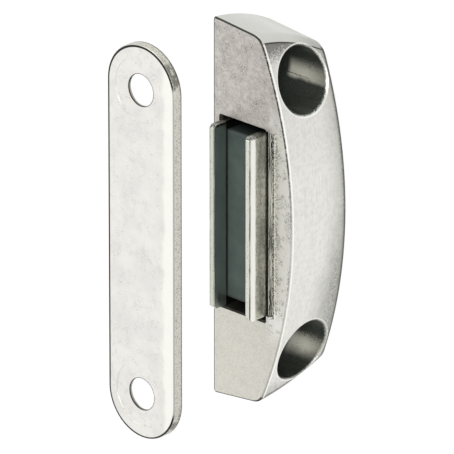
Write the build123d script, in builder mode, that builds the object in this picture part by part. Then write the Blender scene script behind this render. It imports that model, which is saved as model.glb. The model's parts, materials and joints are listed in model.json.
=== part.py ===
from build123d import *
import os
from math import atan2, cos, radians, sin, tan

# Magnetic catch for a cupboard door. A cast housing is screwed to the cabinet.
# A magnet between two steel pole plates rocks on a pin inside it and reaches
# out of the housing's front. A steel strike plate is screwed to the door.
#
# Millimetres. The origin is on the housing's flat mounting face, midway between
# its two screw holes. +X leaves the mounting face, -Y is the way the pole
# plates face, and +Z runs along the housing.

# ---- Driving dimensions ------------------------------------------------------

# Magnet pack: two pole plates with the magnet between them
pole_thickness = 1.0
pole_height = 28.3
pole_standout = 3.15          # tips in front of the housing's front face
pole_tip_radius = 0.15
pole_corner_bevel = 0.45
magnet_thickness = 6.0
magnet_standout = 0.5         # magnet in front of the housing's front face
magnet_end_setback = 1.15     # magnet's ends, short of the pole plates' ends
magnet_edge_radius = 0.4
pack_centre_z = -0.15

# Pocket that the pack sits in, open at the front face
pocket_inner_wall = 1.2       # metal between the pocket and the mounting face
pocket_back_wall = 2.1        # metal behind the pocket
pocket_inner_clearance = 1.0  # beside the pole plate near the mounting face
pocket_outer_clearance = 0.2  # beside the pole plate near the bow
pocket_top_clearance = 0.55
pocket_bottom_clearance = 1.1
pocket_floor_clearance = 0.8  # behind the pole plates
pocket_corner_radius = 0.4

# Pin that carries the pack, pressed in from the mounting face
pin_diameter = 2.0
pin_rear_cover = 1.7          # pin's axis to the pole plates' rear edge
pin_front_clearance = 0.5     # pin to the back of the magnet
pin_running_clearance = 0.08  # radial, in the pole plates
pin_end_bite = 2.4            # length held in the metal beyond the pocket
pin_recess = 0.2              # pin's end below the mounting face
pin_chamfer = 0.2

# Screw wells, sunk from the bow towards the mounting face
screw_hole_diameter = 4.5
well_diameter = 9.4
well_floor = 2.8              # metal left under the screw head
well_wall = 1.1               # metal between a well and each side
well_web = 0.7                # least metal between a well and the pocket
well_end_margin = 8.4         # well's axis to the end of the mounting face
well_rim_bevel = 0.3

# Housing: a bow-shaped profile in X and Z, carried over its width in Y
bow_wall = 5.0                # metal between the pocket and the crown of the bow
bow_rise = 6.2                # crown of the bow above its feet
bow_corner_radius = 2.4       # where an end meets the bow
mount_corner_radius = 0.5     # where an end meets the mounting face
end_lean = 0.95               # how far each end leans in over the bow's foot
end_fall = 3.7                # each end's drop from the front face to the far side
end_start_angle = 6.0         # slope of the drop at the front face
front_edge_radius = 0.3
far_edge_radius = 0.6

# Band pressed into the front face beside the pocket
swage_width = 1.2
swage_depth = 0.3
swage_top_margin = 0.3        # band's top, short of the pocket's
swage_bottom_margin = 1.2     # band's bottom, short of the pocket's
swage_corner_radius = 0.6

# Strike plate
strike_length = 60.0
strike_width = 13.0
strike_thickness = 1.6
strike_roll_radius = 0.3      # edge rolled over on the door side by the press
strike_burr_bevel = 0.1       # edge where the press broke through
strike_hole_diameter = 4.8
strike_hole_margin = 6.75     # hole's axis to the end of the plate
strike_hole_land = 0.5        # straight part of the hole, on the door side
strike_sink_angle = 90.0
strike_coin_diameter = 9.8    # coined ring round each hole, on the door side
strike_coin_depth = 0.08
strike_gap = 16.65            # pole tips to the plate with the door open
strike_centre_z = 2.45

# ---- Sizes and places worked out from them -----------------------------------

# across the housing, front to back
housing_width = well_diameter + 2 * well_wall
front_y = -housing_width / 2
far_y = housing_width / 2
pocket_floor_y = far_y - pocket_back_wall
tip_y = front_y - pole_standout
pole_rear_y = pocket_floor_y - pocket_floor_clearance
pin_y = pole_rear_y - pin_rear_cover
magnet_front_y = front_y - magnet_standout
magnet_rear_y = pin_y - pin_diameter / 2 - pin_front_clearance

# out from the mounting face
pocket_inner_x = pocket_inner_wall
pack_inner_x = pocket_inner_x + pocket_inner_clearance
pack_outer_x = pack_inner_x + 2 * pole_thickness + magnet_thickness
pack_centre_x = (pack_inner_x + pack_outer_x) / 2
pocket_outer_x = pack_outer_x + pocket_outer_clearance
pin_end_x = pocket_outer_x + pin_end_bite
bow_crown_x = pocket_outer_x + bow_wall
bow_foot_x = bow_crown_x - bow_rise

# along the housing
pocket_top_z = pack_centre_z + pole_height / 2 + pocket_top_clearance
pocket_bottom_z = pack_centre_z - pole_height / 2 - pocket_bottom_clearance
pocket_centre_z = (pocket_top_z + pocket_bottom_z) / 2
pocket_height = pocket_top_z - pocket_bottom_z
pocket_reach = max(pocket_top_z, -pocket_bottom_z)
swage_top_z = pocket_top_z - swage_top_margin
swage_bottom_z = pocket_bottom_z + swage_bottom_margin
screw_spacing = 2 * (pocket_reach + well_web + well_diameter / 2)
end_z = screw_spacing / 2 + well_end_margin
foot_z = end_z - end_lean
bow_radius = (foot_z**2 + bow_rise**2) / (2 * bow_rise)

# strike plate
strike_contact_y = tip_y - strike_gap
strike_hole_spacing = strike_length - 2 * strike_hole_margin
strike_sink_depth = strike_thickness - strike_hole_land
strike_sink_spread = strike_sink_depth * tan(radians(strike_sink_angle / 2))

front_plane = Plane.XZ.offset(-front_y)

os.makedirs("parts", exist_ok=True)

# ---- Housing -----------------------------------------------------------------

lean_angle = atan2(end_lean, bow_foot_x)
start_angle = radians(end_start_angle)

with BuildPart() as housing:
    # bow-shaped block, a little longer than the housing
    with BuildSketch(Plane.XZ):
        with Locations((bow_crown_x - bow_radius, 0)):
            Circle(bow_radius)
        with Locations((bow_crown_x / 2, 0)):
            Rectangle(bow_crown_x, 2 * (end_z + 1), mode=Mode.INTERSECT)
    extrude(amount=housing_width / 2, both=True)

    # curved ends, each cut along the way that the end leans
    for side in (1, -1):
        end_plane = Plane(
            origin=(0, 0, side * end_z),
            x_dir=(0, 1, 0),
            z_dir=(cos(lean_angle), 0, -side * sin(lean_angle)),
        )
        with BuildSketch(end_plane):
            with BuildLine():
                fall = TangentArc(
                    (front_y, 0),
                    (far_y, -side * end_fall),
                    tangent=(cos(start_angle), -side * sin(start_angle)),
                )
                Polyline(
                    fall @ 1,
                    (far_y + end_fall, -side * end_fall),
                    (far_y + end_fall, side * end_fall),
                    (front_y - 1, side * end_fall),
                    (front_y - 1, side * tan(start_angle)),
                    fall @ 0,
                )
            make_face()
        extrude(amount=2 * bow_crown_x, both=True, mode=Mode.SUBTRACT)

    # rounded edges where the ends meet the bow, then where they meet the mounting face
    fillet(housing.edges().filter_by(GeomType.BSPLINE), bow_corner_radius)
    ends_at_mount = housing.edges().filter_by(GeomType.ELLIPSE).group_by(Axis.X)[0]
    fillet(ends_at_mount, mount_corner_radius)

    # softened edges all round the front face and the far side
    sides = housing.faces().filter_by(Axis.Y).sort_by(Axis.Y)
    fillet(sides[0].edges(), front_edge_radius)
    sides = housing.faces().filter_by(Axis.Y).sort_by(Axis.Y)
    fillet(sides[-1].edges(), far_edge_radius)

    # screw wells, with bevelled mouths
    with BuildSketch(Plane.YZ.offset(well_floor)):
        with GridLocations(0, screw_spacing, 1, 2):
            Circle(well_diameter / 2)
    extrude(amount=bow_crown_x, mode=Mode.SUBTRACT)
    mouths = housing.edges(Select.LAST).filter_by(GeomType.BSPLINE)
    chamfer(mouths, well_rim_bevel)

    # screw holes in the floors of the wells
    with BuildSketch(Plane.YZ):
        with GridLocations(0, screw_spacing, 1, 2):
            Circle(screw_hole_diameter / 2)
    extrude(amount=well_floor, mode=Mode.SUBTRACT)

    # pocket for the magnet pack
    with BuildSketch(front_plane):
        with Locations(((pocket_inner_x + pocket_outer_x) / 2, pocket_centre_z)):
            RectangleRounded(pocket_outer_x - pocket_inner_x, pocket_height, pocket_corner_radius)
    extrude(amount=front_y - pocket_floor_y, mode=Mode.SUBTRACT)

    # band pressed in along the pocket's bow side
    with BuildSketch(front_plane):
        with Locations((pocket_outer_x, (swage_top_z + swage_bottom_z) / 2)):
            RectangleRounded(
                2 * swage_width, swage_top_z - swage_bottom_z, swage_corner_radius
            )
    extrude(amount=-swage_depth, mode=Mode.SUBTRACT)

    # bore for the pin
    with BuildSketch(Plane.YZ):
        with Locations((pin_y, pack_centre_z)):
            Circle(pin_diameter / 2)
    extrude(amount=pin_end_x, mode=Mode.SUBTRACT)
housing.part.label = "housing"
export_step(housing.part, "parts/housing.step")

# ---- Magnet pack -------------------------------------------------------------

pole_plate_places = {
    "inner_pole_plate": pack_inner_x,
    "outer_pole_plate": pack_outer_x - pole_thickness,
}

for name, face_x in pole_plate_places.items():
    with BuildPart() as pole_plate:
        with BuildSketch(Plane.YZ.offset(face_x)) as blank:
            with Locations(((tip_y + pole_rear_y) / 2, pack_centre_z)):
                Rectangle(pole_rear_y - tip_y, pole_height)
            chamfer(blank.vertices(), pole_corner_bevel)
            with Locations((pin_y, pack_centre_z)):
                Circle(pin_diameter / 2 + pin_running_clearance, mode=Mode.SUBTRACT)
        extrude(amount=pole_thickness)
        tip = pole_plate.faces().filter_by(Axis.Y).sort_by(Axis.Y)[0]
        fillet(tip.edges().filter_by(Axis.Z), pole_tip_radius)
    pole_plate.part.label = name
    export_step(pole_plate.part, f"parts/{name}.step")

with BuildPart() as magnet:
    with BuildSketch(Plane.YZ.offset(pack_inner_x + pole_thickness)):
        with Locations(((magnet_front_y + magnet_rear_y) / 2, pack_centre_z)):
            RectangleRounded(
                magnet_rear_y - magnet_front_y,
                pole_height - 2 * magnet_end_setback,
                magnet_edge_radius,
            )
    extrude(amount=magnet_thickness)
magnet.part.label = "magnet"
export_step(magnet.part, "parts/magnet.step")

with BuildPart() as pivot_pin:
    with BuildSketch(Plane.YZ.offset(pin_recess)):
        with Locations((pin_y, pack_centre_z)):
            Circle(pin_diameter / 2)
    extrude(amount=pin_end_x - pin_recess)
    chamfer(pivot_pin.edges().filter_by(GeomType.CIRCLE), pin_chamfer)
pivot_pin.part.label = "pivot_pin"
export_step(pivot_pin.part, "parts/pivot_pin.step")

# ---- Strike plate ------------------------------------------------------------

contact_plane = Plane.XZ.offset(-strike_contact_y)
door_plane = contact_plane.offset(strike_thickness)
sink_plane = Plane(
    origin=(pack_centre_x, strike_contact_y, strike_centre_z),
    x_dir=(1, 0, 0),
    z_dir=(0, 1, 0),
)

with BuildPart() as strike_plate:
    with BuildSketch(contact_plane):
        with Locations((pack_centre_x, strike_centre_z)):
            SlotOverall(strike_length, strike_width, rotation=90)
    extrude(amount=strike_thickness)
    flats = strike_plate.faces().filter_by(Axis.Y).sort_by(Axis.Y)
    fillet(flats[0].edges(), strike_roll_radius)
    flats = strike_plate.faces().filter_by(Axis.Y).sort_by(Axis.Y)
    chamfer(flats[-1].edges(), strike_burr_bevel)

    # coined rings on the door side
    with BuildSketch(door_plane):
        with Locations((pack_centre_x, strike_centre_z)):
            with GridLocations(0, strike_hole_spacing, 1, 2):
                Circle(strike_coin_diameter / 2)
    extrude(amount=-strike_coin_depth, mode=Mode.SUBTRACT)

    # screw holes, countersunk from the side that meets the poles
    with Locations(sink_plane):
        with GridLocations(0, strike_hole_spacing, 1, 2):
            CounterSinkHole(
                radius=strike_hole_diameter / 2,
                counter_sink_radius=strike_hole_diameter / 2 + strike_sink_spread,
                depth=strike_thickness,
                counter_sink_angle=strike_sink_angle,
            )
strike_plate.part.label = "strike_plate"
export_step(strike_plate.part, "parts/strike_plate.step")
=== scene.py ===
import json
from math import cos, radians, sin, tan

import bpy
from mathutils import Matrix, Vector

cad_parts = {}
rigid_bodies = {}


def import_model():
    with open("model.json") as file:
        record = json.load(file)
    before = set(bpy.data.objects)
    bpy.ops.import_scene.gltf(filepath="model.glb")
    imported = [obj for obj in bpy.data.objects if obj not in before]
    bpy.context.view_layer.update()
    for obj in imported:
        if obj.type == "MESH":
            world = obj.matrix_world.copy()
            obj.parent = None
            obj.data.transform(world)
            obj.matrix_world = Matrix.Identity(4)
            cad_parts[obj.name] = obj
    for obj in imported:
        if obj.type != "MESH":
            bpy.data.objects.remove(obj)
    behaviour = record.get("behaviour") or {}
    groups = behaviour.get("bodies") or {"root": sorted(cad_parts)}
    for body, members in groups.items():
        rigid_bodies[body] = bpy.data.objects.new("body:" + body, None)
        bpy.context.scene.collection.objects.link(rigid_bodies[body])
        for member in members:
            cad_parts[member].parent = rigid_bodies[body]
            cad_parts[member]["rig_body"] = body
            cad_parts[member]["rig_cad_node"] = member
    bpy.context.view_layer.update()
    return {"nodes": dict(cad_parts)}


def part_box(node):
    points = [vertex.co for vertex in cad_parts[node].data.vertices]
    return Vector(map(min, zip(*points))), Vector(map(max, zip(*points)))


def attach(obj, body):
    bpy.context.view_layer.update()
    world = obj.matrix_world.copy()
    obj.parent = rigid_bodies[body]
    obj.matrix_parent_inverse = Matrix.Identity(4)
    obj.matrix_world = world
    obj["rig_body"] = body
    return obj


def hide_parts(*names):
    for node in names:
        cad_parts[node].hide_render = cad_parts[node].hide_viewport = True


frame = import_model()
nodes = frame["nodes"]

# ---- Housing -----------------------------------------------------------------
# One zinc die casting, nickel plated. Its front is left as cast, its bow and
# ends are linished and lightly polished, and it is screwed to the cabinet
# through the two wells. The wells and the pocket are painted dark as shade.

MM = 1000                    # millimetres in a metre
MERGE_DISTANCE = 1e-6        # metres
SHARP_ANGLE = radians(30.0)  # edges sharper than this stay crisp
NOISE_RANGE = (0.3, 0.7)     # nearly all of a noise lies between these


def box_mm(node):
    """The low and high corner of a CAD node's box, in millimetres."""
    return [Vector(under_crease_shade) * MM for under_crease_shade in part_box(node)]


def dressed_copy(node):
    """A merged, smoothly shaded copy of a CAD node, with its flat faces kept flat."""
    bpy.ops.object.select_all(action="DESELECT")
    piece = nodes[node].copy()
    piece.data = nodes[node].data.copy()
    piece.name = node + "_finished"
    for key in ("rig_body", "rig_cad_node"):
        if key in piece:
            del piece[key]
    piece.parent = None
    bpy.context.scene.collection.objects.link(piece)
    piece.data.materials.clear()
    bpy.context.view_layer.objects.active = piece
    piece.select_set(True)
    bpy.ops.object.mode_set(mode="EDIT")
    bpy.ops.mesh.select_all(action="SELECT")
    bpy.ops.mesh.customdata_custom_splitnormals_clear()
    bpy.ops.mesh.remove_doubles(threshold=MERGE_DISTANCE)
    bpy.ops.object.mode_set(mode="OBJECT")
    bpy.ops.object.shade_smooth_by_angle(angle=SHARP_ANGLE)
    weighted = piece.modifiers.new("flat faces", "WEIGHTED_NORMAL")
    weighted.mode = "FACE_AREA"
    weighted.keep_sharp = True
    bpy.ops.object.modifier_apply(modifier=weighted.name)
    return piece


def add(tree, kind, values=(), **settings):
    """Adds a node, sets its inputs by name or index, and returns it."""
    node = tree.nodes.new(kind)
    for key, value in settings.items():
        setattr(node, key, value)
    for key, value in dict(values).items():
        if isinstance(value, bpy.types.NodeSocket):
            tree.links.new(value, node.inputs[key])
        else:
            node.inputs[key].default_value = value
    return node


def new_material(name, metallic=1.0):
    """A material, its node tree, its shader, and its place on the piece in millimetres."""
    material = bpy.data.materials.new(name)
    material.use_nodes = True
    tree = material.node_tree
    shader = tree.nodes["Principled BSDF"]
    shader.inputs["Metallic"].default_value = metallic
    place = add(tree, "ShaderNodeTexCoord").outputs["Object"]
    place = add(tree, "ShaderNodeMapping", {"Vector": place, "Scale": (MM, MM, MM)})
    return material, tree, shader, place.outputs["Vector"]


def axes_of(tree, place):
    """The x, y and z of a place."""
    axes = add(tree, "ShaderNodeSeparateXYZ", {"Vector": place})
    return axes.outputs["X"], axes.outputs["Y"], axes.outputs["Z"]


def calc(tree, operation, *values):
    """One step of arithmetic on numbers and sockets."""
    return add(tree, "ShaderNodeMath", enumerate(values), operation=operation).outputs[0]


def product(tree, first, *others):
    """Multiplies masks together, so that what is left is where all of them are."""
    for other in others:
        first = calc(tree, "MULTIPLY", first, other)
    return first


def distance(tree, across, along):
    """How far off an axis a place is, from its two offsets square to that axis."""
    offset = add(tree, "ShaderNodeCombineXYZ", {"X": across, "Y": along}).outputs[0]
    return add(tree, "ShaderNodeVectorMath", {0: offset}, operation="LENGTH").outputs["Value"]


def fade(tree, value, start, end, low=0.0, high=1.0):
    """Turns value smoothly from low at start to high at end."""
    limits = {"Value": value, "From Min": start, "From Max": end, "To Min": low, "To Max": high}
    return add(tree, "ShaderNodeMapRange", limits, interpolation_type="SMOOTHSTEP").outputs[0]


def band(tree, value, centre, half_width, blur):
    """1 where value is within half_width of centre, falling to 0 over blur."""
    offset = calc(tree, "ABSOLUTE", calc(tree, "SUBTRACT", value, centre))
    return fade(tree, offset, half_width + blur, half_width)


def blend(tree, factor, low, high):
    """Goes from low to high as factor goes from 0 to 1."""
    values = {0: factor, 2: low, 3: high}
    return add(tree, "ShaderNodeMix", values, data_type="FLOAT").outputs[0]


def tint(tree, factor, first, second):
    """Mixes two colours."""
    values = {0: factor, 6: first, 7: second}
    return add(tree, "ShaderNodeMix", values, data_type="RGBA").outputs[2]


def noise(tree, place, scale, detail=4.0, roughness=0.6, stretch=(1, 1, 1)):
    """Noise with about scale features to a millimetre, before it is stretched."""
    place = add(tree, "ShaderNodeMapping", {"Vector": place, "Scale": stretch}).outputs["Vector"]
    values = {"Vector": place, "Scale": scale, "Detail": detail, "Roughness": roughness}
    return add(tree, "ShaderNodeTexNoise", values).outputs["Fac"]


def ragged(tree, value, ground, amount):
    """Moves value to and fro with a noise, so that an edge drawn on it is ragged."""
    return calc(tree, "MULTIPLY_ADD", calc(tree, "SUBTRACT", ground, 0.5), amount, value)


def veins(tree, place, scale, width):
    """Fine wandering lines in patches, such as the flow marks in a cast skin."""
    ground = noise(tree, place, scale, detail=3)
    lines = band(tree, ground, 0.5, width / 2, width / 2)
    patches = fade(tree, noise(tree, place, 0.8), 0.48, 0.60)
    return calc(tree, "MULTIPLY", lines, patches)


def rise(tree, shader, height, distance, strength=1.0, normal=None):
    """Bumps a surface by height times distance, in metres, and gives back its normal."""
    values = {"Height": height, "Distance": distance, "Strength": strength}
    if normal is not None:
        values["Normal"] = normal
    normal = add(tree, "ShaderNodeBump", values).outputs["Normal"]
    tree.links.new(normal, shader.inputs["Normal"])
    return normal


# the housing's own shape, in millimetres
HOUSING_LOW, HOUSING_HIGH = box_mm("housing")
HOUSING_WIDTH = HOUSING_HIGH.y - HOUSING_LOW.y
BOW_CROWN_X = HOUSING_HIGH.x
BOW_RISE = 6.2
END_LEAN = 0.95
END_LEAN_SLOPE = END_LEAN / (BOW_CROWN_X - BOW_RISE)
MOUNT_CORNER_LOSS = 0.09  # rounded off the ends where they meet the mounting face
END_Z = HOUSING_HIGH.z + MOUNT_CORNER_LOSS
BOW_RADIUS = ((END_Z - END_LEAN) ** 2 + BOW_RISE**2) / (2 * BOW_RISE)
END_FALL = 3.7
END_START_SLOPE = tan(radians(6.0))
END_CURVE = (END_FALL / HOUSING_WIDTH - END_START_SLOPE) / HOUSING_WIDTH
END_CORNER_BLEND = 1.9
WELL_RADIUS = 4.7
WELL_Z = 20.8
WELL_RIM = 0.3
WELL_FLOOR = 2.8
POCKET_OUTER_X = 10.4
PRESSED_WIDTH = 1.2  # of the band pressed in beside the pocket
PRESSED_END_Z = 14.4

# lines on the casting: centre, half width and blur, in millimetres
DARK_EDGE_REFLECTION = (-0.09, 0.14, 0.06)
BRIGHT_EDGE_REFLECTION = (0.30, 0.07, 0.13)
UPPER_CREASE_REFLECTION = (-0.84, 0.05, 0.13)
LOWER_CREASE_REFLECTION = (-0.1, 0.9, 0.35)
POLISHED_RING_AND_HIGHLIGHT = (WELL_RADIUS + WELL_RIM + 0.03, 0.03, 0.12)
STREAK_PARTING = (-0.55, 0.03, 0.10)
POCKET_GAP_SHADOW = (POCKET_OUTER_X, 0.10, 0.06)
PRESSED_BAND = (POCKET_OUTER_X, PRESSED_WIDTH, 0.05)
RAISED_FOOT = (POCKET_OUTER_X + PRESSED_WIDTH + 0.18, 0.05, 0.10)
RAISED_CREST = (POCKET_OUTER_X + PRESSED_WIDTH + 0.42, 0.08, 0.10)

# nickel over zinc, by how far it has been polished; the bow and ends are lighter
# than the front partly from polish and partly as painted light
CAST_NICKEL = (0.49, 0.455, 0.43, 1)
CAST_NICKEL_LIGHT = (0.60, 0.575, 0.54, 1)
FRONT_NICKEL_LIT = (0.67, 0.655, 0.59, 1)
LINISHED_NICKEL = (0.795, 0.785, 0.745, 1)
DULL_AND_SHADED_NICKEL = (0.50, 0.50, 0.46, 1)
END_NICKEL = (0.61, 0.615, 0.575, 1)
HIGHLIGHT_AND_POLISHED_NICKEL = (0.94, 0.93, 0.89, 1)
TARNISH_AND_SHADE = (0.022, 0.022, 0.018, 1)
HOLLOW_SHADE = (0.028, 0.034, 0.027, 1)
HOLLOW_SHADE_LIGHT = (0.074, 0.083, 0.068, 1)
STREAK_REFLECTION = (0.95, 0.93, 0.79, 1)

material, tree, shader, place = new_material("plated zinc casting")
x, y, z = axes_of(tree, place)
height = calc(tree, "ABSOLUTE", z)
upper_half = fade(tree, z, -1.0, 1.0)

# how far a point is behind the front, and above the bow, the ends and the whole outline
behind_front = calc(tree, "SUBTRACT", y, HOUSING_LOW.y)
before_far = calc(tree, "SUBTRACT", HOUSING_WIDTH, behind_front)
from_bow_centre = distance(tree, calc(tree, "SUBTRACT", x, BOW_CROWN_X - BOW_RADIUS), z)
above_bow = calc(tree, "SUBTRACT", from_bow_centre, BOW_RADIUS)
end_drop = calc(tree, "MULTIPLY_ADD", behind_front, END_CURVE, END_START_SLOPE)
end_drop = calc(tree, "MULTIPLY", end_drop, behind_front)
above_end = calc(tree, "MULTIPLY_ADD", x, END_LEAN_SLOPE, end_drop)
above_end = calc(tree, "ADD", above_end, calc(tree, "SUBTRACT", height, END_Z))
above_outline = calc(tree, "SMOOTH_MAX", above_end, above_bow, END_CORNER_BLEND)
above_skin = calc(tree, "MAXIMUM", above_outline, calc(tree, "MULTIPLY", x, -1.0))

# round the edges: less than 0 on the front, the far side and the mounting face,
# and more than 0 on the bow and the ends
over_edge = calc(tree, "ADD", behind_front, above_skin)
over_far_edge = calc(tree, "ADD", before_far, above_skin)
over_mount_edge = calc(tree, "ADD", x, above_outline)
over_flats = calc(tree, "MINIMUM", over_edge, over_far_edge)
over_flats = calc(tree, "MINIMUM", over_flats, over_mount_edge)
# over the crease between bow and end: less than 0 on the bow
over_crease = calc(tree, "SUBTRACT", above_end, above_bow)
# under the skin, in the wells, the pocket, the bore and the pressed band
depth = calc(tree, "MINIMUM", behind_front, calc(tree, "MULTIPLY", above_skin, -1.0))
depth = calc(tree, "MINIMUM", depth, before_far)
# round each well's axis
from_well = distance(tree, y, calc(tree, "SUBTRACT", height, WELL_Z))
in_well = fade(tree, x, WELL_FLOOR - 0.3, WELL_FLOOR - 0.1)

blotches = noise(tree, place, 0.35, detail=5)
mottle = noise(tree, place, 1.6, detail=6, roughness=0.65)
grain = noise(tree, place, 4.5, detail=4, roughness=0.7)
fine = noise(tree, place, 3.4, detail=3, roughness=0.7)
brushing = noise(tree, place, 1.0, detail=4, roughness=0.7, stretch=(0, 7.0, 0.10))

# the front, as cast: lighter lower down as painted light, pitted higher up, and
# lighter and pitted beside the pressed band
LIT_ZONE_Z = (18.0, -14.0)
PITTED_ZONE_Z = (-10.0, 12.0)
front = tint(tree, fade(tree, mottle, 0.36, 0.64), CAST_NICKEL, CAST_NICKEL_LIGHT)
front = tint(tree, fade(tree, z, *LIT_ZONE_Z, 0.0, 0.9), front, FRONT_NICKEL_LIT)
front = tint(tree, fade(tree, fine, 0.55, 0.40, 0.0, 0.10), front, TARNISH_AND_SHADE)
beside_band = product(
    tree,
    fade(tree, x, POCKET_OUTER_X - 0.4, POCKET_OUTER_X + 1.1),
    fade(tree, height, PRESSED_END_Z + 4.6, PRESSED_END_Z + 0.6),
    fade(tree, over_edge, 0.1, -0.1),
)
front = tint(tree, calc(tree, "MULTIPLY", beside_band, 0.95), front, LINISHED_NICKEL)
pits = calc(tree, "MAXIMUM", fade(tree, grain, 0.36, 0.28), veins(tree, place, 2.6, 0.025))
pitted = calc(tree, "MAXIMUM", fade(tree, z, *PITTED_ZONE_Z, 0.2, 0.8), beside_band)
front = tint(tree, calc(tree, "MULTIPLY", pits, pitted), front, TARNISH_AND_SHADE)

# the bow, brushed along its length, and darker towards its ends and the far side,
# partly duller patches and partly painted shade where it turns from the light
LOW_DULLING_AND_SHADE_Z = (2.0, -14.0)
HIGH_DULLING_AND_SHADE_Z = (6.0, 14.0)
DULL_AND_SHADED_ZONE = (3.4, 8.5)
DULLEST_AND_SHADED_ZONE = (6.0, 9.5)
FAR_DULLING_AND_SHADE_Y = (5.9, 6.9)
bow = tint(tree, fade(tree, brushing, 0.25, 0.75, -0.05, 0.12), LINISHED_NICKEL, TARNISH_AND_SHADE)
dulling_and_shade = calc(tree, "MULTIPLY_ADD", grain, 2.0, calc(tree, "MULTIPLY_ADD", blotches, 3.0, y))
dulling_and_shade = calc(tree, "ADD", dulling_and_shade, fade(tree, z, *LOW_DULLING_AND_SHADE_Z, 0.0, 2.6))
bow = tint(tree, fade(tree, dulling_and_shade, *DULL_AND_SHADED_ZONE, 0.0, 0.9), bow, DULL_AND_SHADED_NICKEL)
dullest_and_shaded = fade(tree, dulling_and_shade, *DULLEST_AND_SHADED_ZONE)
dullest_and_shaded = calc(tree, "MULTIPLY", dullest_and_shaded, fade(tree, grain, 0.56, 0.44, 0.0, 0.5))
bow = tint(tree, dullest_and_shaded, bow, TARNISH_AND_SHADE)
bow = tint(tree, fade(tree, z, *HIGH_DULLING_AND_SHADE_Z, 0.0, 0.28), bow, DULL_AND_SHADED_NICKEL)
bow = tint(tree, fade(tree, mottle, 0.56, 0.40, 0.0, 0.09), bow, TARNISH_AND_SHADE)
far_dulling_and_shade = calc(tree, "MULTIPLY_ADD", grain, 2.6, y)
bow = tint(tree, fade(tree, far_dulling_and_shade, *FAR_DULLING_AND_SHADE_Y, 0.0, 0.6), bow, TARNISH_AND_SHADE)

# painted shade in the corner under each crease, mottled, darkest at the top
UNDER_CREASE_SHADE_ZONE = (0.6, 2.9)
under_crease_shade = calc(tree, "MULTIPLY_ADD", grain, 7.0, calc(tree, "MULTIPLY", y, -0.22))
under_crease_shade = fade(tree, calc(tree, "ADD", under_crease_shade, over_crease), *UNDER_CREASE_SHADE_ZONE)
under_crease_shade = calc(tree, "MULTIPLY", under_crease_shade, blend(tree, upper_half, 0.3, 0.72))
bow = tint(tree, under_crease_shade, bow, TARNISH_AND_SHADE)

# the ends, with painted shade towards the far side
END_SHADE_Y = (-1.0, 5.0)
END_DARK_SHADE_Y = (1.0, 5.0)
end = tint(tree, fade(tree, blotches, *NOISE_RANGE, 0.0, 0.15), END_NICKEL, CAST_NICKEL)
end = tint(tree, fade(tree, y, *END_SHADE_Y), end, DULL_AND_SHADED_NICKEL)
end = tint(tree, fade(tree, y, *END_DARK_SHADE_Y, 0.0, 0.14), end, TARNISH_AND_SHADE)

# the skin as a whole, with painted dark reflections along the creases and the far edge of the bow
OFF_MOUNT_EDGE_X = (2.0, 4.0)
skin = tint(tree, fade(tree, over_crease, -0.95, -0.75), bow, end)
crumbled = fade(tree, grain, 0.36, 0.52, 0.35, 1.0)
crease_reflection = blend(
    tree,
    upper_half,
    calc(tree, "MULTIPLY", band(tree, over_crease, *LOWER_CREASE_REFLECTION), crumbled),
    band(tree, over_crease, *UPPER_CREASE_REFLECTION),
)
skin = tint(tree, calc(tree, "MULTIPLY", crease_reflection, 0.9), skin, TARNISH_AND_SHADE)
skin = tint(tree, fade(tree, over_flats, -0.12, 0.12), front, skin)
off_mount_edge = fade(tree, x, *OFF_MOUNT_EDGE_X)
far_edge_reflection = product(
    tree,
    fade(tree, over_far_edge, 0.9, 0.35),
    fade(tree, over_far_edge, -0.3, -0.1, 0.0, 0.9),
    fade(tree, grain, 0.36, 0.52, 0.65, 1.0),
    fade(tree, over_crease, 0.0, -0.6),
    off_mount_edge,
)
skin = tint(tree, far_edge_reflection, skin, TARNISH_AND_SHADE)

# the edge all round the front: a painted dark reflection, which is wider and further
# out by the upper end and further in by the mounting face, and on the bow a painted
# highlight beside it
CRUMBLING_Z = (-2.0, 12.0)
by_bow = calc(tree, "MULTIPLY", fade(tree, over_crease, -0.6, -1.0), off_mount_edge)
by_end = calc(tree, "MULTIPLY", fade(tree, over_crease, -1.0, -0.2), upper_half)
edge_break = calc(tree, "MULTIPLY", crumbled, fade(tree, z, *CRUMBLING_Z, 0.4, 1.0))
edge_break = blend(tree, by_bow, 0.95, edge_break)
dark_edge_reflection = calc(tree, "MULTIPLY", over_edge, fade(tree, by_end, 0.0, 1.0, 1.0, 0.78))
dark_edge_reflection = calc(tree, "MULTIPLY_ADD", by_end, -0.06, dark_edge_reflection)
dark_edge_reflection = calc(tree, "ADD", dark_edge_reflection, fade(tree, x, 0.5, 2.0, 0.03, 0.0))
dark_edge_reflection = calc(tree, "MULTIPLY", band(tree, dark_edge_reflection, *DARK_EDGE_REFLECTION), edge_break)
skin = tint(tree, dark_edge_reflection, skin, TARNISH_AND_SHADE)
bright_edge_reflection = product(tree, band(tree, over_edge, *BRIGHT_EDGE_REFLECTION), by_bow, 0.95)
skin = tint(tree, bright_edge_reflection, skin, HIGHLIGHT_AND_POLISHED_NICKEL)

# a dull bevel round each well, and a polished ring round that, partly a painted highlight
bevel = fade(tree, from_well, WELL_RADIUS + WELL_RIM, WELL_RADIUS + 0.1, 0.0, 0.7)
skin = tint(tree, calc(tree, "MULTIPLY", bevel, in_well), skin, DULL_AND_SHADED_NICKEL)
polished_and_highlit_ring = product(
    tree,
    band(tree, from_well, *POLISHED_RING_AND_HIGHLIGHT),
    fade(tree, grain, 0.35, 0.55, 0.3, 0.9),
    fade(tree, y, 1.5, 4.0, 1.0, 0.6),
    in_well,
)
skin = tint(tree, polished_and_highlit_ring, skin, HIGHLIGHT_AND_POLISHED_NICKEL)

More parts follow.
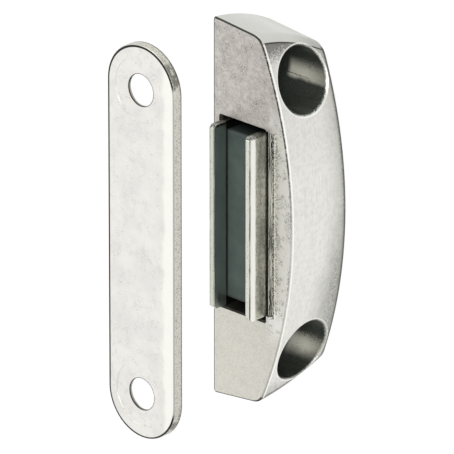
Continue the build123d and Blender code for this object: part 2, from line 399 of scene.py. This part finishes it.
# the hollows, with a slanting bright streak painted on the far wall of each well as
# a painted reflection, and a dark line along it in the upper one
STREAK_ANGLE = radians(-15.0)
STREAK_FOOT_LOWER = (-2.6, -0.4)  # in the lower well, across the streak, from nothing to full
STREAK_FOOT_UPPER = (-1.25, -0.55)
STREAK_TOP_LOWER = 1.7
STREAK_TOP_UPPER = 2.2
STREAK_FAR_WALL_Y = (1.0, 3.0)
STREAK_MOUTH_X = (12.5, 8.0)
STREAK_OFF_FLOOR = (2.0, 3.0)
STREAK_PARTING_MOUTH_X = (10.0, 8.0)
well_z = calc(tree, "MULTIPLY", calc(tree, "SIGN", z), WELL_Z)
across_streak = calc(tree, "MULTIPLY", calc(tree, "SUBTRACT", z, well_z), cos(STREAK_ANGLE))
across_streak = calc(tree, "MULTIPLY_ADD", y, -sin(STREAK_ANGLE), across_streak)
foot_start = blend(tree, upper_half, STREAK_FOOT_LOWER[0], STREAK_FOOT_UPPER[0])
foot_end = blend(tree, upper_half, STREAK_FOOT_LOWER[1], STREAK_FOOT_UPPER[1])
top_start = blend(tree, upper_half, STREAK_TOP_LOWER, STREAK_TOP_UPPER)
speckling = fade(tree, x, 6.0, 10.0, 1.0, 6.0)
reflection_streak = product(
    tree,
    fade(tree, ragged(tree, across_streak, blotches, 1.0), foot_start, foot_end),
    fade(tree, ragged(tree, across_streak, grain, speckling), top_start, 0.0),
    fade(tree, y, *STREAK_FAR_WALL_Y),
    fade(tree, x, *STREAK_MOUTH_X, 0.32, 1.0),
    fade(tree, x, WELL_FLOOR + STREAK_OFF_FLOOR[0], WELL_FLOOR + STREAK_OFF_FLOOR[1]),
    fade(tree, grain, 0.36, 0.50, 0.75, 1.0),
    fade(tree, from_well, WELL_RADIUS + 0.3, WELL_RADIUS + 0.05),
)
streak_parting = product(
    tree,
    band(tree, across_streak, *STREAK_PARTING),
    fade(tree, x, *STREAK_PARTING_MOUTH_X),
    fade(tree, mottle, 0.38, 0.50, 0.0, 0.8),
    upper_half,
)
reflection_streak = calc(tree, "SUBTRACT", reflection_streak, calc(tree, "MULTIPLY", reflection_streak, streak_parting))
# painted shade in the wells and the pocket, darkest in the pocket
painted_hollow = tint(tree, fade(tree, grain, 0.35, 0.70), HOLLOW_SHADE, HOLLOW_SHADE_LIGHT)
outside_wells = fade(tree, from_well, WELL_RADIUS + 0.2, WELL_RADIUS + 0.4, 0.0, 0.7)
painted_hollow = tint(tree, outside_wells, painted_hollow, TARNISH_AND_SHADE)
painted_hollow = tint(tree, reflection_streak, painted_hollow, STREAK_REFLECTION)
mouth = ragged(tree, from_well, grain, 0.7)
mouth = fade(tree, mouth, WELL_RADIUS + 0.16, WELL_RADIUS + 0.06)
hollowed = fade(tree, depth, 0.38, 0.75)
hollowed = calc(tree, "MAXIMUM", hollowed, calc(tree, "MULTIPLY", mouth, in_well))
skin = tint(tree, hollowed, skin, painted_hollow)

# the band pressed in beside the pocket, drawn into fine lines along its length,
# with painted shadow in the gap next to it
weave = noise(tree, place, 1.0, detail=2, stretch=(0, 0, 1.1))
weave = calc(tree, "MULTIPLY_ADD", weave, 0.8, calc(tree, "MULTIPLY_ADD", grain, 0.12, x))
weave = add(tree, "ShaderNodeCombineXYZ", {"X": weave, "Z": z}).outputs[0]
drawn_lines = noise(tree, weave, 1.0, detail=3, roughness=0.7, stretch=(6.5, 0, 0.12))
pressed = tint(tree, fade(tree, drawn_lines, 0.44, 0.54), TARNISH_AND_SHADE, LINISHED_NICKEL)
short_of_ends = fade(tree, height, PRESSED_END_Z, PRESSED_END_Z - 0.1)
in_band = product(
    tree,
    band(tree, x, *PRESSED_BAND),
    fade(tree, depth, 0.06, 0.16),
    fade(tree, depth, 0.7, 0.45),
    short_of_ends,
)
skin = tint(tree, in_band, skin, pressed)
gap_shadow = product(tree, band(tree, x, *POCKET_GAP_SHADOW), fade(tree, depth, 0.02, 0.08), short_of_ends)
skin = tint(tree, gap_shadow, skin, TARNISH_AND_SHADE)

# the metal that the press threw up beside the band, with tarnish caught in it
on_front = calc(tree, "MULTIPLY", fade(tree, over_edge, -0.3, -0.6), fade(tree, depth, 0.1, 0.05))
speckled = product(
    tree,
    fade(tree, x, POCKET_OUTER_X - 1.4, POCKET_OUTER_X - 0.4),
    fade(tree, x, POCKET_OUTER_X + 2.8, POCKET_OUTER_X + 1.3),
    fade(tree, height, PRESSED_END_Z + 0.4, PRESSED_END_Z - 0.4),
    fade(tree, fine, 0.49, 0.43, 0.0, 0.95),
    on_front,
)
skin = tint(tree, speckled, skin, TARNISH_AND_SHADE)
wander = ragged(tree, x, grain, 1.3)
raised = fade(tree, height, PRESSED_END_Z, PRESSED_END_Z - 0.4, 0.0, 0.85)
raised = calc(tree, "MULTIPLY", on_front, raised)
foot = calc(tree, "MULTIPLY", band(tree, wander, *RAISED_FOOT), raised)
skin = tint(tree, foot, skin, TARNISH_AND_SHADE)
crest = calc(tree, "MULTIPLY", band(tree, wander, *RAISED_CREST), raised)
skin = tint(tree, crest, skin, HIGHLIGHT_AND_POLISHED_NICKEL)
tree.links.new(skin, shader.inputs["Base Color"])
tree.links.new(fade(tree, hollowed, 0.0, 1.0, 1.0, 0.0), shader.inputs["Metallic"])

# the front is rough as cast, and the bow and ends are only brushed
cast_gloss = fade(tree, mottle, *NOISE_RANGE, 0.50, 0.40)
bow_gloss = fade(tree, brushing, *NOISE_RANGE, 0.34, 0.26)
gloss = blend(tree, fade(tree, over_flats, -0.1, 0.3), cast_gloss, bow_gloss)
tree.links.new(gloss, shader.inputs["Roughness"])
rough_skin = calc(tree, "MULTIPLY", grain, fade(tree, over_flats, 0.3, -0.1, 0.15, 1.0))
relief = rise(tree, shader, rough_skin, 0.00006, strength=0.5)
rise(tree, shader, brushing, 0.00001, strength=0.3, normal=relief)

housing = dressed_copy("housing")
housing.data.materials.append(material)
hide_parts("housing")
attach(housing, "housing_body")

# ---- Pole plates -------------------------------------------------------------
# Two sheared plates of soft steel, nickel plated, held to the magnet by its
# own pull. Their tips are rounded and rubbed bright where they meet the strike
# plate, and a highlight is painted on their sides behind the tips.

PLATE_LOW, PLATE_HIGH = box_mm("outer_pole_plate")
PLATE_THICKNESS = PLATE_HIGH.x - PLATE_LOW.x
MAGNET_LOW, MAGNET_HIGH = box_mm("magnet")
MAGNET_X = (MAGNET_LOW.x + MAGNET_HIGH.x) / 2
MAGNET_HALF_THICKNESS = (MAGNET_HIGH.x - MAGNET_LOW.x) / 2
RUBBED_AND_HIGHLIT_TIP = 1.1  # how far the rubbing reaches back from the tips
TIP_EDGE_REFLECTION = (-0.04, 0.06, 0.10)        # centre, half width and blur
TIP_INNER_EDGE_REFLECTION = (-0.04, 0.05, 0.08)
PLATE_NICKEL = (0.66, 0.65, 0.57, 1)
PLATE_NICKEL_DARK = (0.42, 0.42, 0.37, 1)
PLATE_INSIDE = (0.42, 0.47, 0.44, 1)
TIP_NICKEL = (0.72, 0.725, 0.66, 1)
TIP_NICKEL_DULL = (0.60, 0.62, 0.53, 1)
TIP_SIDE_HIGHLIGHT = (0.97, 0.96, 0.90, 1)

material, tree, shader, place = new_material("plated pole steel")
x, y, z = axes_of(tree, place)
behind_tip = calc(tree, "SUBTRACT", y, PLATE_LOW.y)
from_magnet = calc(tree, "ABSOLUTE", calc(tree, "SUBTRACT", x, MAGNET_X))
from_magnet = calc(tree, "SUBTRACT", from_magnet, MAGNET_HALF_THICKNESS)
inside = fade(tree, from_magnet, 0.06, 0.02)
on_outer_plate = fade(tree, x, MAGNET_X - 1.0, MAGNET_X + 1.0)
rubbing = noise(tree, place, 1.0, detail=4, stretch=(3.0, 2.0, 0.25))
mottle = noise(tree, place, 2.6, detail=5)
grain = noise(tree, place, 4.5, detail=4, roughness=0.7)
plate_skin = tint(tree, fade(tree, mottle, 0.40, 0.65), PLATE_NICKEL, PLATE_NICKEL_DARK)
plate_skin = tint(tree, inside, plate_skin, PLATE_INSIDE)

# the rubbed tips, duller on the plate by the mounting face, with a painted highlight
# on their sides and painted dark reflections along their edges
rubbed_and_highlit = calc(tree, "MULTIPLY_ADD", rubbing, 0.5, behind_tip)
rubbed_and_highlit = fade(tree, rubbed_and_highlit, RUBBED_AND_HIGHLIT_TIP + 0.45, RUBBED_AND_HIGHLIT_TIP + 0.1)
rubbed_and_highlit = calc(tree, "MULTIPLY", rubbed_and_highlit, fade(tree, from_magnet, 0.05, 0.15))
tip = tint(tree, on_outer_plate, TIP_NICKEL_DULL, TIP_NICKEL)
# the sides just behind the tips get a painted highlight
tip = tint(tree, fade(tree, behind_tip, 0.10, 0.22), tip, TIP_SIDE_HIGHLIGHT)
plate_skin = tint(tree, rubbed_and_highlit, plate_skin, tip)
specks = product(tree, fade(tree, grain, 0.46, 0.34, 0.0, 0.45), fade(tree, behind_tip, 0.2, 0.1))
plate_skin = tint(tree, specks, plate_skin, TARNISH_AND_SHADE)
broken = fade(tree, rubbing, 0.35, 0.55, 0.4, 1.0)
at_tip = fade(tree, behind_tip, 0.4, 0.3)
# painted dark reflections along the rounded edges of the tips
over_tip = calc(tree, "ADD", calc(tree, "SUBTRACT", from_magnet, PLATE_THICKNESS), behind_tip)
over_tip = calc(tree, "ADD", over_tip, blend(tree, on_outer_plate, 0.05, 0.0))
tip_edge_reflection = product(tree, band(tree, over_tip, *TIP_EDGE_REFLECTION), broken, at_tip)
tip_edge_reflection = calc(tree, "MULTIPLY", tip_edge_reflection, blend(tree, on_outer_plate, 0.75, 1.0))
plate_skin = tint(tree, tip_edge_reflection, plate_skin, TARNISH_AND_SHADE)
over_inner_tip = calc(tree, "SUBTRACT", behind_tip, from_magnet)
inner_edge_reflection = product(tree, band(tree, over_inner_tip, *TIP_INNER_EDGE_REFLECTION), broken, at_tip, 0.8)
plate_skin = tint(tree, inner_edge_reflection, plate_skin, TARNISH_AND_SHADE)

# painted shade where the plates lie against the magnet, and tarnish on the upper
# sheared ends
magnet_shade = fade(tree, y, MAGNET_LOW.y - 0.30, MAGNET_LOW.y - 0.10, 0.0, 0.9)
plate_skin = tint(tree, calc(tree, "MULTIPLY", inside, magnet_shade), plate_skin, TARNISH_AND_SHADE)
to_end = calc(tree, "SUBTRACT", PLATE_HIGH.z, z)
end_tarnish = product(
    tree, fade(tree, to_end, 0.45, 0.25), fade(tree, grain, 0.58, 0.42, 0.45, 0.95)
)
plate_skin = tint(tree, end_tarnish, plate_skin, TARNISH_AND_SHADE)
tree.links.new(plate_skin, shader.inputs["Base Color"])
# the painted highlight on the sides is made unmetallic, so that the lamps light it
side_highlight = calc(tree, "MULTIPLY", rubbed_and_highlit, fade(tree, behind_tip, 0.15, 0.30))
tree.links.new(fade(tree, side_highlight, 0.0, 1.0, 1.0, 0.0), shader.inputs["Metallic"])
tree.links.new(fade(tree, rubbing, *NOISE_RANGE, 0.30, 0.42), shader.inputs["Roughness"])
rise(tree, shader, rubbing, 0.00002, strength=0.3)

for node in ("inner_pole_plate", "outer_pole_plate"):
    plate = dressed_copy(node)
    plate.data.materials.append(material)
    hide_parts(node)
    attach(plate, "magnet_pack")

# ---- Magnet ------------------------------------------------------------------
# A sintered ferrite block, ground on its two large faces. Painted shade darkens
# its ends and its faces along the pole plates.

FERRITE = (0.060, 0.085, 0.076, 1)
FERRITE_LIGHT = (0.084, 0.112, 0.102, 1)
FERRITE_PIT = (0.02, 0.025, 0.022, 1)
FERRITE_SHADE = (0.006, 0.008, 0.007, 1)

material, tree, shader, place = new_material("ferrite", metallic=0.0)
x, y, z = axes_of(tree, place)
grain = noise(tree, place, 3.0, detail=6, roughness=0.7)
cloud = noise(tree, place, 0.3, detail=3)
ferrite = tint(tree, fade(tree, cloud, *NOISE_RANGE), FERRITE, FERRITE_LIGHT)
ferrite = tint(tree, fade(tree, grain, 0.38, 0.28), ferrite, FERRITE_PIT)
# painted shade along the pole plates
to_plate = calc(tree, "ABSOLUTE", calc(tree, "SUBTRACT", x, MAGNET_X))
to_plate = calc(tree, "SUBTRACT", MAGNET_HALF_THICKNESS, to_plate)
ferrite = tint(tree, fade(tree, to_plate, 0.30, 0.12, 0.0, 0.9), ferrite, FERRITE_SHADE)
# painted shade on the ends and on the faces near them
to_end = calc(tree, "SUBTRACT", MAGNET_HIGH.z, calc(tree, "ABSOLUTE", z))
end_shade = fade(tree, to_end, 0.30, 0.10, 0.0, 0.75)
by_end = fade(tree, to_end, 3.5, 0.3, 0.0, 0.25)
ferrite = tint(tree, calc(tree, "MAXIMUM", end_shade, by_end), ferrite, FERRITE_SHADE)
tree.links.new(ferrite, shader.inputs["Base Color"])
tree.links.new(fade(tree, grain, *NOISE_RANGE, 0.42, 0.60), shader.inputs["Roughness"])
rise(tree, shader, grain, 0.00003, strength=0.4)

magnet = dressed_copy("magnet")
magnet.data.materials.append(material)
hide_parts("magnet")
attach(magnet, "magnet_pack")

# ---- Pivot pin ---------------------------------------------------------------
# A plain ground steel pin, pressed into the casting from the mounting face.

PIN_STEEL = (0.38, 0.38, 0.36, 1)
PIN_STEEL_LIGHT = (0.52, 0.51, 0.49, 1)

material, tree, shader, place = new_material("pin steel")
turning = noise(tree, place, 1.0, detail=3, stretch=(5.0, 0.4, 0.4))
steel = tint(tree, fade(tree, turning, *NOISE_RANGE), PIN_STEEL, PIN_STEEL_LIGHT)
tree.links.new(steel, shader.inputs["Base Color"])
tree.links.new(fade(tree, turning, *NOISE_RANGE, 0.24, 0.36), shader.inputs["Roughness"])
rise(tree, shader, turning, 0.00001, strength=0.3)

pin = dressed_copy("pivot_pin")
pin.data.materials.append(material)
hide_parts("pivot_pin")
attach(pin, "housing_body")

# ---- Strike plate ------------------------------------------------------------
# Pressed from steel strip, zinc plated, and screwed to the door. The press
# leaves a rolled edge on the side against the door and a torn one on the other.

STRIKE_LOW, STRIKE_HIGH = box_mm("strike_plate")
STRIKE_CENTRE = (STRIKE_LOW + STRIKE_HIGH) / 2
STRIKE_RADIUS = (STRIKE_HIGH.x - STRIKE_LOW.x) / 2
STRIKE_STRAIGHT = (STRIKE_HIGH.z - STRIKE_LOW.z) / 2 - STRIKE_RADIUS
STRIKE_HOLE_Z = 23.25
STRIKE_HOLE_RADIUS = 2.4
STRIKE_OUTLINE_REFLECTION = (-0.10, 0.14, 0.10)  # centre, half width and blur
STRIKE_TURN = (3.2, 0.3, 1.8)
STRIKE_CLEAN_WALL = (0.8, 0.45, 0.2)
STRIKE_ZINC = (0.735, 0.72, 0.69, 1)
STRIKE_ZINC_LIGHT = (0.795, 0.785, 0.745, 1)
STRIKE_ZINC_LIT = (0.90, 0.895, 0.84, 1)
STRIKE_EDGE = (0.60, 0.585, 0.52, 1)
STRIKE_HOLE_WALL = (0.36, 0.355, 0.32, 1)

material, tree, shader, place = new_material("plated strike steel")
x, y, z = axes_of(tree, place)
behind_face = calc(tree, "SUBTRACT", y, STRIKE_LOW.y)
across = calc(tree, "SUBTRACT", x, STRIKE_CENTRE.x)
height = calc(tree, "ABSOLUTE", calc(tree, "SUBTRACT", z, STRIKE_CENTRE.z))
past_straight = calc(tree, "MAXIMUM", calc(tree, "SUBTRACT", height, STRIKE_STRAIGHT), 0.0)
outside = calc(tree, "SUBTRACT", distance(tree, across, past_straight), STRIKE_RADIUS)
over_edge = calc(tree, "ADD", behind_face, outside)
blotches = noise(tree, place, 0.22, detail=5)
mottle = noise(tree, place, 1.5, detail=6, roughness=0.65)
grain = noise(tree, place, 4.0, detail=4, roughness=0.7)

# the face, with a strip along one side painted lighter as light falling on its edge
LIT_STRIP_X = (4.6, 5.6)
face = tint(tree, fade(tree, blotches, 0.35, 0.65), STRIKE_ZINC, STRIKE_ZINC_LIGHT)
marks = calc(tree, "MAXIMUM", fade(tree, grain, 0.34, 0.26), veins(tree, place, 2.2, 0.02))
face = tint(tree, calc(tree, "MULTIPLY", marks, 0.3), face, TARNISH_AND_SHADE)
lit_strip = calc(tree, "MULTIPLY_ADD", blotches, 1.5, across)
face = tint(tree, fade(tree, lit_strip, *LIT_STRIP_X, 0.0, 0.8), face, STRIKE_ZINC_LIT)

# the sheared side, tarnished where the press turned round the ends
turn = band(tree, ragged(tree, past_straight, mottle, 9.0), *STRIKE_TURN)
turn = calc(tree, "MULTIPLY", turn, 0.7)
turn = calc(tree, "MAXIMUM", turn, fade(tree, grain, 0.47, 0.38, 0.0, 0.6))
side = tint(tree, turn, STRIKE_EDGE, TARNISH_AND_SHADE)
torn_edge = calc(tree, "MULTIPLY_ADD", grain, 0.5, behind_face)
side = tint(tree, fade(tree, torn_edge, 1.5, 1.7, 0.0, 0.9), side, TARNISH_AND_SHADE)
on_side = fade(tree, over_edge, -0.05, 0.20)
on_side = calc(tree, "MINIMUM", on_side, fade(tree, outside, -0.30, -0.18))
face = tint(tree, on_side, face, side)

# the rolled edge, with a painted dark reflection along the outline that is heavier
# on one side and at the ends
light_side = fade(tree, across, -3.0, 3.0)
outline_reflection = calc(
    tree, "MAXIMUM", blend(tree, light_side, 1.0, 0.55), fade(tree, past_straight, 0.0, 2.0)
)
line = calc(tree, "ADD", over_edge, blend(tree, light_side, 0.16, 0.0))
outline_reflection = product(
    tree, outline_reflection, band(tree, line, *STRIKE_OUTLINE_REFLECTION), fade(tree, behind_face, 0.6, 0.4)
)
face = tint(tree, outline_reflection, face, TARNISH_AND_SHADE)

# the punched holes, tarnished at both ends of their walls
from_hole = distance(tree, across, calc(tree, "SUBTRACT", height, STRIKE_HOLE_Z))
in_hole = fade(tree, from_hole, STRIKE_HOLE_RADIUS + 0.12, STRIKE_HOLE_RADIUS + 0.04)
clean_wall = band(tree, behind_face, *STRIKE_CLEAN_WALL)
wall = tint(tree, clean_wall, TARNISH_AND_SHADE, STRIKE_HOLE_WALL)
face = tint(tree, in_hole, face, wall)
tree.links.new(face, shader.inputs["Base Color"])
tree.links.new(fade(tree, mottle, *NOISE_RANGE, 0.34, 0.44), shader.inputs["Roughness"])
rise(tree, shader, grain, 0.00003, strength=0.3)

strike = dressed_copy("strike_plate")
strike.data.materials.append(material)
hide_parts("strike_plate")
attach(strike, "strike")

# ---- Studio ------------------------------------------------------------------
# A plain white floor and backdrop, soft lamps and the camera.

CAMERA_AZIMUTH = radians(43.24)
CAMERA_HEIGHT = radians(22.74)
CAMERA_DISTANCE = 1.45
CAMERA_TARGET = Vector((0.00273, -0.0058, -0.0026))
CAMERA_LENS = 804.4
CAMERA_SENSOR = 36
CAMERA_CLIP = 10
away = Vector(
    (
        sin(CAMERA_AZIMUTH) * cos(CAMERA_HEIGHT),
        -cos(CAMERA_AZIMUTH) * cos(CAMERA_HEIGHT),
        sin(CAMERA_HEIGHT),
    )
)
camera = bpy.data.objects.new("camera", bpy.data.cameras.new("camera"))
bpy.context.scene.collection.objects.link(camera)
camera.location = CAMERA_TARGET + CAMERA_DISTANCE * away
camera.rotation_euler = away.to_track_quat("Z", "Y").to_euler()
camera.data.lens = CAMERA_LENS
camera.data.sensor_width = CAMERA_SENSOR
camera.data.clip_end = CAMERA_CLIP
bpy.context.scene.camera = camera

FLOOR_Z = -0.075
FLOOR_SIZE = 6.0
FLOOR_LIFT = 0.29
FAR_FLOOR_LIFT = 0.75
FAR_FLOOR_MM = (300.0, 1500.0)
FLOOR_WHITE = (0.9, 0.9, 0.9, 1)
WHITE = (1, 1, 1, 1)


def seen(tree):
    """1 for rays that the camera sees, directly or in metal or glass, and 0 for others."""
    path = add(tree, "ShaderNodeLightPath")
    direct = calc(tree, "MAXIMUM", path.outputs["Is Camera Ray"], path.outputs["Is Glossy Ray"])
    return calc(tree, "MAXIMUM", direct, path.outputs["Is Transmission Ray"])


bpy.ops.object.select_all(action="DESELECT")
bpy.ops.mesh.primitive_plane_add(size=FLOOR_SIZE, location=(0, 0, FLOOR_Z))
floor = bpy.context.object
floor.name = "floor"
material, tree, shader, place = new_material("floor", metallic=0.0)
shader.inputs["Base Color"].default_value = FLOOR_WHITE
shader.inputs["Roughness"].default_value = 1.0
shader.inputs["Specular IOR Level"].default_value = 0.0
shader.inputs["Emission Color"].default_value = WHITE
from_catch = add(tree, "ShaderNodeVectorMath", {0: place}, operation="LENGTH").outputs["Value"]
lift = fade(tree, from_catch, *FAR_FLOOR_MM, FLOOR_LIFT, FAR_FLOOR_LIFT)
tree.links.new(calc(tree, "MULTIPLY", seen(tree), lift), shader.inputs["Emission Strength"])
floor.data.materials.append(material)

LAMP_DISTANCE = 1.7
LAMP_SIZE = 1.3


def lamp(name, direction, power):
    """A large round soft lamp, aimed at the middle of the catch."""
    light = bpy.data.lights.new(name, "AREA")
    light.shape = "DISK"
    light.size = LAMP_SIZE
    light.energy = power
    holder = bpy.data.objects.new(name, light)
    bpy.context.scene.collection.objects.link(holder)
    aim = Vector(direction).normalized()
    holder.location = CAMERA_TARGET + LAMP_DISTANCE * aim
    holder.rotation_euler = aim.to_track_quat("Z", "Y").to_euler()
    holder.visible_camera = False


lamp("key lamp", (-0.4, -0.8, 1.2), 6.5)
lamp("side lamp", (1.3, -1.1, 0.65), 12.0)
lamp("top lamp", (-0.1, 0.1, 1.0), 4.5)

WORLD_LIGHT = 0.45
world = bpy.data.worlds.new("studio")
bpy.context.scene.world = world
world.use_nodes = True
background = world.node_tree.nodes["Background"]
background.inputs["Color"].default_value = WHITE
strength = fade(world.node_tree, seen(world.node_tree), 0.0, 1.0, WORLD_LIGHT, 1.0)
world.node_tree.links.new(strength, background.inputs["Strength"])

bpy.context.scene.view_settings.view_transform = "Standard"
